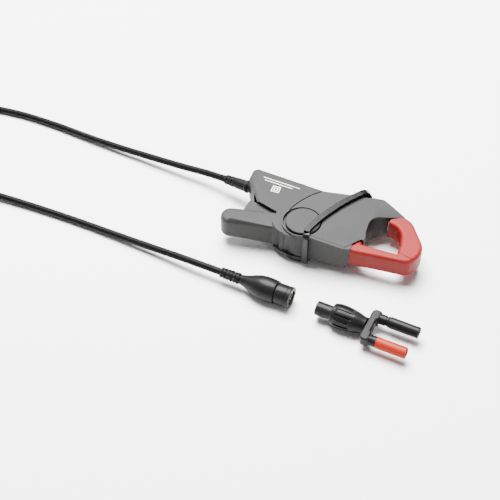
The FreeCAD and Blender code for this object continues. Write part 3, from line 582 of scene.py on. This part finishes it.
# %% The lower cover is the same shell turned over, with a flat boss to rest on
SCREW_PLACES = [(-43.0, 36.6), (-8.6, 30.6), (16.2, 32.6), (40.4, 38.6)]
lower = copy_of(body, "lower_shell", flipped=True)
slice_off(lower, (0.0, -14.1, 6.2), (0.0, -0.877, -0.48))
rest = disc("rest", 0, 0, REST_RADIUS, -MIDDLE, -LAYER_HALF)
round_edges(rest, 0.6, lambda a, b: max(a.z, b.z) < 0.01, 3)
combine(lower, rest, "UNION")
for x, y in SCREW_PLACES:
    combine(lower, disc("screw_well", x, y, 2.4, -20, -LAYER_HALF - 0.6, 32), "DIFFERENCE")
combine(lower, block("switch_window", -31.4, -20.6, 27.6, 32.0, -14, -8), "DIFFERENCE")
finished(body, "case", "grey_shell", ("upper_cover",), soften=0.25)
finished(lower, "case", "grey_shell", ("lower_cover",), soften=0.25)

# %% [markdown]
# ## The lever and the near jaw
#
# The trigger lever, the flat web beside it, the hub and the grey root of the near jaw are one moulding
# that turns on the pivot pin. It is made like the covers: outlines raised to their heights, rounded, and
# fused. The lever's rims get a large rounding because a palm presses there. A slot for the iron core is
# cut out of the jaw.

# %% Raise and fuse the moving moulding
LEVER_HALF, WEB_HALF, NEAR_WALL = 8.6, 7.4, -12.4
LEVER_END, LEVER_END_RADIUS = (-49.5, -6.0), 7.0
end_near, end_rear, end_far = (on_circle(LEVER_END_RADIUS, turn, LEVER_END) for turn in (-81.2, 190, 100.8))
lever = plate("trigger_lever", outline([
    end_near, (end_rear, end_far), (-30.0, 5.0), (-8.0, 8.6), (0.0, NEAR_WALL), (-9.0, -10.8),
    ((-11.4, -11.4), (-13.6, -8.6)), (-18.8, -8.3),
]), -LEVER_HALF, LEVER_HALF)
round_edges(lever, 3.0, lambda a, b: on_rim(a, b, LEVER_HALF) and max(a.x, b.x) < -18, 6)
web = sector("web", 43.4, 163.7, 182, -WEB_HALF, WEB_HALF)
round_edges(web, 0.8, lambda a, b: abs(a.z - b.z) < 0.01 and max(a.x, b.x) < -30, 3)
combine(lever, sector("lid_gap", 20.3, 110, 262, 7.75, 20), "DIFFERENCE")
hub = disc("hub", 0, 0, HUB_RADIUS - 0.4, 0.06 - LEVER_HALF, 7.7)
root = plate("root", [
    (0, -0.15), (37.0, -0.15), (37.0, -10.8), (32.2, NEAR_WALL), (9.7, NEAR_WALL), (3.4, -12.9),
    (0.5, -13.2),
], 0.03 - LEVER_HALF, LEVER_HALF - 0.03)
rim = plate("rim", [
    (7.0, -12.85), (9.8, -10.6), (32.2, -10.6), (35.2, -11.44), (32.2, NEAR_WALL - 0.05),
    (9.7, NEAR_WALL - 0.05),
], -9.4, FRONT_HALF)
fall_away(rim)
for part in (web, hub, root, rim):
    combine(lever, part, "UNION")
print("lever faces:", len(lever.data.polygons))

# %% Cut the slots for the core and the pin
near_core = [
    (25.95, 5.0), (25.95, -9.6), (40.0, -9.2), (72.0, -7.1), (77.7, -4.5), (78.7, 5.0), (69.9, 5.0),
    (69.9, -0.05), (69.3, -3.9), (33.5, -3.5), (33.5, 5.0),
]
far_core = [
    (25.95, -5.0), (25.95, 34.6), (44.0, 34.6), (54.5, 31.7), (66.5, 26.3), (72.5, 22.0), (77.8, 11.5),
    (78.7, 0.0), (78.7, -5.0), (69.9, -5.0), (69.9, 0.0), (69.5, 13.4), (64.5, 21.9), (56.8, 25.7),
    (46.0, 27.9), (33.5, 28.3), (33.5, -5.0),
]
CORE_HALF = 4.85
combine(lever, plate("core_slot", near_core, -CORE_HALF, CORE_HALF), "DIFFERENCE")
combine(lever, disc("pin_hole", 0, 0, 3.8, -20, 20, 40), "DIFFERENCE")
solid_lever = copy_of(lever, "solid_lever")
finished(lever, "jaw_lever", "grey_shell", ("lever_arm",), soften=0.3)

# %% [markdown]
# ## The red jaw tips
#
# The hook and the bar are bright red so that the eye finds the jaw, and they meet at a fine gap. Each is
# a flat moulding with well rounded edges, and the hook's corner is cut off where it turns back to the
# grey arm.

# %% Mould the hook and the bar
TIP_HALF, SPLIT = 7.6, 0.15
# The line where hook and bar meet, and half of the gap between them.
PARTING, PARTING_GAP = [(67.4, -0.6), (72.5, -3.0), (79.0, -4.9)], 0.2
WINDOW_FRONT, WINDOW_BACK, REACH = 67.4, 42.8, 82.6


def at_parting(a, b):
    """Whether an edge runs along the parting line."""
    return all(any(abs(p.x - x) < 0.05 and abs(p.y - y) < 0.3 for x, y in PARTING) for p in (a, b))


hook = plate("red_hook", outline([
    *((x, y + PARTING_GAP) for x, y in PARTING), ((REACH - 0.1, 4.4), (REACH - 1.9, 12.6)),
    (REACH - 10.4, 26.0), ((70.2, 28.6), (64.6, 31.9)), (55.6, 26.3), (54.8, 22.8),
    ((62.0, 20.2), (66.2, 13.4)), (WINDOW_FRONT, 7.0),
]), -TIP_HALF, TIP_HALF)
round_edges(hook, 2.4, lambda a, b: on_rim(a, b, TIP_HALF) and not at_parting(a, b)
            and not (min(a.x, b.x) < 57 and max(a.y, b.y) > 23), 8)
combine(hook, plate("core_slot", far_core, -CORE_HALF, CORE_HALF), "DIFFERENCE")
combine(hook, plate("core_slot", near_core, 0.05 - CORE_HALF, CORE_HALF - 0.05), "DIFFERENCE")
inner_end, turning, outer_end = ((x, y - PARTING_GAP) for x, y in PARTING)
bar = plate("red_bar", outline([
    inner_end, (WINDOW_FRONT - 0.6, -2.5), (WINDOW_BACK + 0.3, -1.8), (WINDOW_BACK, -SPLIT),
    (37.0, -SPLIT), (37.0, -10.8), (72.0, -8.7), ((76.4, -7.6), outer_end), turning,
]), -TIP_HALF, TIP_HALF)
round_edges(bar, 2.4, lambda a, b: on_rim(a, b, TIP_HALF) and min(a.y, b.y) < -1 and max(a.x, b.x) > 37.5
            and not at_parting(a, b), 8)
combine(bar, plate("core_slot", near_core, -CORE_HALF, CORE_HALF), "DIFFERENCE")
finished(hook, "case", "red_tip", ("fixed_jaw_tip",), soften=0.15)
finished(bar, "jaw_lever", "red_tip", ("moving_jaw_tip",), soften=0.15)

# %% [markdown]
# ## The finger guard
#
# A dark glossy band stands out all round the clamp and keeps fingers behind the jaws. It is bowed where
# it crosses the top, and its corners are round. It starts as a grid, which is stood up along the bow as a
# thin sheet with round corners. Solidify gives the band its width, a bevel its round crown, and the body
# is cut out of it. The stretch below the lid's near edge is moulded on the near jaw and moves with it, so
# that stretch is a piece of its own.

# %% Bend a sheet along the bow
GUARD_WIDTH, GUARD_HALF, CROWN_RADIUS = 4.0, MIDDLE - 0.02, 1.45
bow_centre, bow_radius, bow_first, bow_sweep = circle_through(
    Vector((4.1, -15.4)), Vector((17.5, 17.6)), Vector((36.5, 43.35)),
)
BOW_LENGTH = abs(bow_sweep) * bow_radius
NEAR_ROUNDING, FAR_ROUNDING = 3.2, 7.9
# Where it comes down the near wall, the band swings forward a little.
NEAR_SWING, NEAR_SWING_LENGTH = 2.8, 8.0
quarter = [1 - math.cos(math.radians(10 * k)) for k in range(10)]
stations = [NEAR_ROUNDING * q for q in quarter]
straight = BOW_LENGTH - NEAR_ROUNDING - FAR_ROUNDING
stations += [NEAR_ROUNDING + straight * k / 40 for k in range(1, 40)]
stations += [BOW_LENGTH - FAR_ROUNDING * q for q in reversed(quarter)]


def corner_drop(distance, rounding):
    """How far a round corner lies below the band's full height, at a distance from its end."""
    short = max(0.0, rounding - distance)
    return rounding - math.sqrt(max(0.0, rounding * rounding - short * short))


bpy.ops.mesh.primitive_grid_add(x_subdivisions=len(stations) - 1, y_subdivisions=1, size=2)
guard = bpy.context.object
guard.name = guard.data.name = "guard_band"
for vertex in guard.data.vertices:
    along = stations[round((vertex.co.x + 1) / 2 * (len(stations) - 1))]
    drop = max(corner_drop(along, NEAR_ROUNDING), corner_drop(BOW_LENGTH - along, FAR_ROUNDING))
    angle = bow_first + bow_sweep * along / BOW_LENGTH
    height = MIDDLE + math.copysign(GUARD_HALF - drop, vertex.co.y)
    swing = NEAR_SWING * smooth_step(1 - along / NEAR_SWING_LENGTH)
    x = bow_centre.x + bow_radius * math.cos(angle) + swing
    y = bow_centre.y + bow_radius * math.sin(angle)
    vertex.co = Vector((x, y, height)) * MM
print("bow length:", round(BOW_LENGTH, 1), "mm")

# %% Thicken, crown and cut the guard
alone(guard)
width = guard.modifiers.new("width", "SOLIDIFY")
width.thickness, width.offset = GUARD_WIDTH * MM, 0.0
bpy.ops.object.modifier_apply(modifier=width.name)
crown = guard.modifiers.new("crown", "BEVEL")
crown.width, crown.segments = CROWN_RADIUS * MM, 5
crown.limit_method, crown.angle_limit = "ANGLE", math.radians(60)
bpy.ops.object.modifier_apply(modifier=crown.name)
jaw_guard = copy_of(guard, "guard_on_jaw")
combine(guard, block("below_lid", -40, 60, -40, LID_EDGE, -40, 40), "DIFFERENCE")
combine(guard, solid_body, "DIFFERENCE")
combine(guard, disc("rest_room", 0, 0, REST_RADIUS, -20, 0), "DIFFERENCE")
combine(jaw_guard, block("above_lid", -40, 60, LID_EDGE - 0.3, 60, -40, 40), "DIFFERENCE")
combine(jaw_guard, solid_lever, "DIFFERENCE")
combine(jaw_guard, disc("boss_room", 0, 0, 14.4, -40, 40), "DIFFERENCE")
slice_off(jaw_guard, (0.0, 0.0, 3.6), (0.0, 0.0, -1.0))
finished(guard, "case", "dark_guard", ("finger_guard",), smooth=50)
finished(jaw_guard, "jaw_lever", "dark_guard", ("moving_guard",), smooth=50)

# %% [markdown]
# ## Turned pieces
#
# The boots, the plug and the adapter are round, so they come from a lathe profile: a line of corners,
# each a distance along the axis and a radius, spun into a solid and then laid along its axis. A moulding
# rule may press the spun surface in at some angles, which gives the staggered notches of a strain relief
# and the finger flutes of a grip.

# %% A lathe
def lathe(name, profile, at, way, steps=64, mould=None):
    """Spins a closed profile, in mm, and lays it along a direction. A mould changes radii by place."""
    bpy.ops.mesh.primitive_circle_add(vertices=len(profile), fill_type="NOTHING")
    piece = bpy.context.object
    piece.name = piece.data.name = name
    for vertex, (along, radius) in zip(piece.data.vertices, profile):
        vertex.co = Vector((along, 0.0, radius)) * MM
    pick(piece, lambda a, b: max(a.z, b.z) < 0.001)
    bpy.ops.mesh.delete(type="EDGE")
    bpy.ops.mesh.select_all(action="SELECT")
    bpy.ops.mesh.spin(steps=steps, angle=2 * math.pi, center=(0, 0, 0), axis=(1, 0, 0))
    bpy.ops.mesh.select_all(action="SELECT")
    bpy.ops.mesh.remove_doubles(threshold=0.002 * MM)
    bpy.ops.mesh.normals_make_consistent(inside=False)
    bpy.ops.object.mode_set(mode="OBJECT")
    if mould:
        for vertex in piece.data.vertices:
            radius = math.hypot(vertex.co.y, vertex.co.z) / MM
            if radius > 0.01:
                share = mould(vertex.co.x / MM, radius, math.atan2(vertex.co.y, vertex.co.z)) / radius
                vertex.co.y *= share
                vertex.co.z *= share
    lay_along(piece, at, way)
    return piece


def lay_along(piece, at, way):
    """Turns a piece's own X axis to a direction and moves its origin to a place in mm, within its mesh."""
    alone(piece)
    piece.rotation_mode = "QUATERNION"
    piece.rotation_quaternion = way.to_track_quat("X", "Z")
    piece.location = at * MM
    bpy.ops.object.transform_apply(location=True, rotation=True, scale=True)


def ribs(start, end, first, last, pitch, depth):
    """A row of ribs along a boot, whose radius changes evenly: a land and a groove for each."""
    count = round((end - start) / pitch)
    profile = []
    for k in range(count):
        at = start + (end - start) * k / count
        radius = first + (last - first) * (k + 0.5) / count
        land = (end - start) / count * 0.58
        profile += [(at, radius - 0.12), (at + 0.15, radius)]
        profile += [(at + land - 0.15, radius), (at + land, radius - 0.12)]
        profile += [(at + land + 0.12, radius - depth)]
        profile += [(at + (end - start) / count - 0.12, radius - depth)]
    return profile


def staggered(start, pitch, depth):
    """A rule that notches the ribs at four places, turned by an eighth from one rib to the next."""
    def press(along, radius, angle):
        turn = (angle + math.pi / 4 * (math.floor((along - start) / pitch) % 2)) % (math.pi / 2)
        notched = along > start and abs(turn - math.pi / 4) < 0.2 and radius > 2.9
        return radius - depth if notched else radius
    return press


print("lathe ready")

# %% [markdown]
# ## The boots and the plug
#
# Where the cord leaves the clamp it has a soft black boot: a smooth root, then ribs that let it bend. The
# plug's own boot is ribbed all along. The plug's body swells gently to a finger grip and ends at a seam,
# and the coupling sleeve ahead of it turns to lock the plug.

# %% Turn the boots
cable_boot = lathe("clamp_boot", [
    (-4.4, 2.55), (-4.4, 4.4), (-2.9, 4.4), (-2.9, 3.55), (0.25, 3.55), (0.25, 4.5), (0.8, 4.75),
    (1.7, 4.75), (2.2, 4.5), (2.6, 4.15), (6.0, 4.1), (10.5, 3.95), (10.8, 3.5), (11.5, 3.45),
    *ribs(11.8, 20.8, 4.0, 3.45, 2.25, 0.55), (BOOT_LENGTH, 3.0), (BOOT_LENGTH, 2.55),
], BOOT_AT, BOOT_WAY, 64, staggered(11.8, 2.25, 0.4))
finished(cable_boot, "case", "black_boot", ("cable_boot",), smooth=40)
plug_boot = lathe("plug_strain_relief", [
    (0.0, 2.55), (0.0, 3.1), *ribs(0.2, 15.0, 3.7, 4.0, 2.46, 0.75), (15.2, 3.3), (15.2, 2.55),
], PLUG_AT, PLUG_WAY, 64, staggered(0.2, 2.46, 0.5))
finished(plug_boot, "case", "black_boot", ("plug_boot",), smooth=40)

# %% Turn the plug's body and its coupling sleeve
SWELL = [
    (15.25, 3.4), (16.0, 3.62), (18.0, 4.05), (20.0, 4.75), (22.0, 5.55), (24.0, 6.35), (26.0, 7.05),
    (28.0, 7.6), (30.0, 8.0), (32.0, 8.25), (34.5, 8.35), (37.0, 8.25), (39.0, 8.05), (40.6, 7.85),
    (41.1, 7.6),
]
plug_body = lathe("plug_grip", [
    (15.25, 1.7), *SWELL, (41.1, 6.9), (36.4, 6.9), (36.4, 5.9), (34.0, 5.9), (34.0, 1.7),
], PLUG_AT, PLUG_WAY, 72)
finished(plug_body, "case", "black_moulding", ("plug_body",), smooth=40)


def knurled(along, radius, angle):
    """Presses twenty-four fine flutes into the sleeve's skirt."""
    return radius - 0.16 * (radius > 7 and 42 < along < 48.4 and math.cos(24 * angle) < 0)


sleeve = lathe("coupling_sleeve_knurled", [
    (41.5, 6.45), (41.5, 6.9), (41.9, 7.2), (48.4, 7.3), (48.8, 7.1), (49.3, 7.1), (49.7, 7.45),
    (51.6, 7.45), (52.1, 7.1), (52.1, 6.4), (42.4, 6.4),
], PLUG_AT, PLUG_WAY, 96, knurled)
finished(sleeve, "plug_nut", "black_moulding", ("coupling_sleeve",), smooth=30)

# %% [markdown]
# ## The adapter
#
# The adapter slides onto the plug and ends in two shrouded safety pins. Its grip has fourteen long flutes
# and tapers to a cross bar, from whose two ends the tines run forward. The bar is a plate with well
# rounded edges, the tines are turned, and a ring on the black tine shows where its sheath is pressed on.

# %% Turn the fluted grip
def fluted(along, radius, angle):
    """Presses fourteen flutes into the swell of the grip."""
    swell = smooth_step((along - 84.2) / 1.2) * smooth_step((97.0 - along) / 3.0)
    return radius - 0.75 * swell * (math.cos(14 * angle) < -0.2) * (radius > 6.5)


GRIP_LINE = [(82.0, 7.1), (82.5, 7.4), (83.6, 7.5), (84.3, 7.75), (85.4, 8.0)]
GRIP_LINE += [(87.0 + k, 8.15 - 0.011 * (k - 1) ** 2) for k in range(0, 12)]
GRIP_LINE += [(99.4, 6.75), (100.9, 6.35), (102.4, 5.95), (103.9, 5.65), (104.9, 5.5)]
grip = lathe("adapter_grip_fluted", [
    (81.75, 4.95), (81.75, 6.8), *GRIP_LINE, (104.9, 3.5), (87.9, 3.5), (87.9, 5.0), (84.8, 5.0),
], PLUG_AT, PLUG_WAY, 144, fluted)
finished(grip, "adapter", "black_moulding", ("adapter_grip",), smooth=35)

# %% Make the cross bar with its tines
ACROSS = Vector((-PLUG_WAY.y, PLUG_WAY.x, 0.0))
PIN_SIDE, TINE_RADIUS = 9.525, 3.55
lift = PLUG_AT.z - MIDDLE


def along_plug(along, side):
    """The place on the table this far along the plug's axis and to its side."""
    place = PLUG_AT + PLUG_WAY * along + ACROSS * side
    return (place.x, place.y)


yoke = plate("adapter_cross_bar", [along_plug(s, d) for s, d in (
    (105.0, -11.2), (106.8, -13.3), (110.2, -13.3), (111.4, -12.6), (111.4, -5.5), (110.2, -5.1),
    (110.2, 5.1), (111.4, 5.5), (111.4, 12.6), (110.2, 13.3), (106.8, 13.3), (105.0, 11.2),
)], lift - 3.75, lift + 3.75)
round_edges(yoke, 1.1, lambda a, b: abs(a.z - b.z) < 0.01, 5)
for name, side, end in (("black_tine", PIN_SIDE, 117.75), ("red_tine", -PIN_SIDE, 113.7)):
    at = PLUG_AT + ACROSS * side
    # Only the black tine is long enough for a ring.
    rings = [(115.6, TINE_RADIUS), (115.8, 3.1), (116.5, 3.1), (116.7, TINE_RADIUS)] if side > 0 else []
    tine = lathe(name, [
        (109.0, 1.65), (109.0, TINE_RADIUS), *rings, (end - 0.3, TINE_RADIUS), (end, 3.4), (end, 1.65),
    ], at, PLUG_WAY, 48)
    combine(yoke, tine, "UNION")
    bore = lathe("bore", [(107.9, 0), (107.9, 1.65), (118.5, 1.65), (118.5, 0)], at, PLUG_WAY, 32)
    combine(yoke, bore, "DIFFERENCE")
finished(yoke, "adapter", "black_moulding", ("adapter_yoke",), smooth=35)

# %% Turn the sheaths
SHEATH_LENGTH = 20.6
for name, side, start, slot, node in (
    ("black_pin_sheath", PIN_SIDE, 117.8, "black_moulding", "black_sheath"),
    ("red_pin_sheath", -PIN_SIDE, 116.25, "red_sheath_plastic", "red_sheath"),
):
    end = start + SHEATH_LENGTH
    piece = lathe(name, [
        (start, 1.7), (start, 3.6), (start + 0.15, 3.8), (start + 0.4, 3.9), (end - 0.6, 3.9),
        (end - 0.25, 3.8), (end - 0.05, 3.6), (end, 3.4), (end, 3.15), (start + 2.0, 3.1), (start + 2.0, 1.7),
    ], PLUG_AT + ACROSS * side, PLUG_WAY, 64)
    finished(piece, "adapter", slot, (node,), smooth=35)

# %% [markdown]
# ## A plain print
#
# The handle carries a light print. Here it is two thin rules and a square within a square, which say
# nothing and belong to nobody. Each mark is a very thin plate set into the handle, standing proud by the
# thickness of the ink.

# %% Print the marks
PRINT_LOW, PRINT_HIGH = HANDLE_HALF - 0.12, HANDLE_HALF + 0.04
MARK_X, MARK_Y = -27.2, 24.8
long_rule = [(-39.0, 33.9), (-39.0, 33.4), (-11.6, 30.6), (-11.6, 31.1)]
short_rule = [(-37.4, 31.5), (-37.4, 31.0), (-16.4, 28.8), (-16.4, 29.3)]


def square(name, half, low, high):
    """A square plate in the middle of the mark."""
    return block(name, MARK_X - half, MARK_X + half, MARK_Y - half, MARK_Y + half, low, high)


marks = plate("handle_print", long_rule, PRINT_LOW, PRINT_HIGH)
combine(marks, plate("rule", short_rule, PRINT_LOW, PRINT_HIGH), "UNION")
for outer, inner in ((2.9, 2.35), (1.5, 0.95)):
    ring = square("square", outer, PRINT_LOW, PRINT_HIGH)
    combine(ring, square("inside", inner, PRINT_LOW - 1, PRINT_HIGH + 1), "DIFFERENCE")
    combine(marks, ring, "UNION")
finished(marks, "case", "white_insulator")

# %% [markdown]
# ## The coil's tie
#
# The spare cord is held by one thin strap round its nine turns, on the side away from the clamp.

# %% Tie the coil
TIE_HALF_WIDTH, TIE_THICKNESS = 3.0, 0.25
BUNDLE_HALF, BUNDLE_LOW, BUNDLE_HIGH, BUNDLE_CORNER = 7.75, 0.1, 15.3, 2.4
coil_tie = block(
    "coil_tie", -BUNDLE_HALF - TIE_THICKNESS, BUNDLE_HALF + TIE_THICKNESS,
    BUNDLE_LOW - TIE_THICKNESS, BUNDLE_HIGH + TIE_THICKNESS, -TIE_HALF_WIDTH, TIE_HALF_WIDTH,
)
bundle = block("bundle", -BUNDLE_HALF, BUNDLE_HALF, BUNDLE_LOW, BUNDLE_HIGH, -5, 5)
for band, radius in ((coil_tie, BUNDLE_CORNER + TIE_THICKNESS), (bundle, BUNDLE_CORNER)):
    round_edges(band, radius, lambda a, b: abs(a.z - b.z) > 1, 5)
combine(coil_tie, bundle, "DIFFERENCE")
alone(coil_tie)
coil_tie.rotation_euler = (math.pi / 2, 0, 0)
coil_tie.location = Vector((COIL_CENTRE.x - MIDDLE_TURN, COIL_CENTRE.y + MIDDLE, 0)) * MM
bpy.ops.object.transform_apply(location=True, rotation=True, scale=True)
finished(coil_tie, "case", "black_moulding")

# %% [markdown]
# ## Table and light
#
# The probe lies on a plain pale table under soft studio light: one wide lamp overhead, a lower one from
# the left that draws the highlights along the guard and the cords, and a weak fill from the right. A pale
# surround does the rest.

# %% Lay the table
bpy.ops.object.select_all(action="DESELECT")
bpy.ops.mesh.primitive_plane_add(size=8, location=(0, 0, -0.0002))
table = bpy.context.object
table.name = "table"
paper = bpy.data.materials.new("table_paper")
paper.use_nodes = True
paper_shader = paper.node_tree.nodes["Principled BSDF"]
paper_shader.inputs["Base Color"].default_value = (0.9, 0.9, 0.9, 1)
paper_shader.inputs["Roughness"].default_value = 0.7
paper_shader.inputs["Specular IOR Level"].default_value = 0.2
table.data.materials.append(paper)
print("table at", table.location.z)

# %% Hang the lamps
LAMPS = [
    ("overhead", (-0.28, 0.4, 1.25), 0.9, 150.0),
    ("left", (-1.2, 0.5, 0.5), 0.4, 12.0),
    ("right", (0.9, -0.7, 0.9), 0.5, 1.5),
]
for name, place, size, power in LAMPS:
    lamp = bpy.data.lights.new(name, "AREA")
    lamp.size, lamp.energy = size, power
    holder = bpy.data.objects.new(name, lamp)
    bpy.context.scene.collection.objects.link(holder)
    holder.location = place
    holder.rotation_mode = "QUATERNION"
    holder.rotation_quaternion = (AIM - Vector(place)).to_track_quat("-Z", "Y")
surround = bpy.data.worlds.new("surround")
surround.use_nodes = True
sky = surround.node_tree.nodes["Background"]
sky.inputs["Color"].default_value = (1, 1, 1, 1)
sky.inputs["Strength"].default_value = 0.25
bpy.context.scene.world = surround
print("lamps:", [name for name, *_ in LAMPS])

# %% [markdown]
# ## The finished object
#
# The pieces that ride on the cord are gathered in a list.

cord_pieces = [coil_tie, cable_boot, plug_boot, plug_body, sleeve]
cord_pieces += [frame["nodes"][n] for n in (
    "plug_shell", "plug_insulator", "plug_center_pin", "plug_gasket", "bayonet_ring",
)]
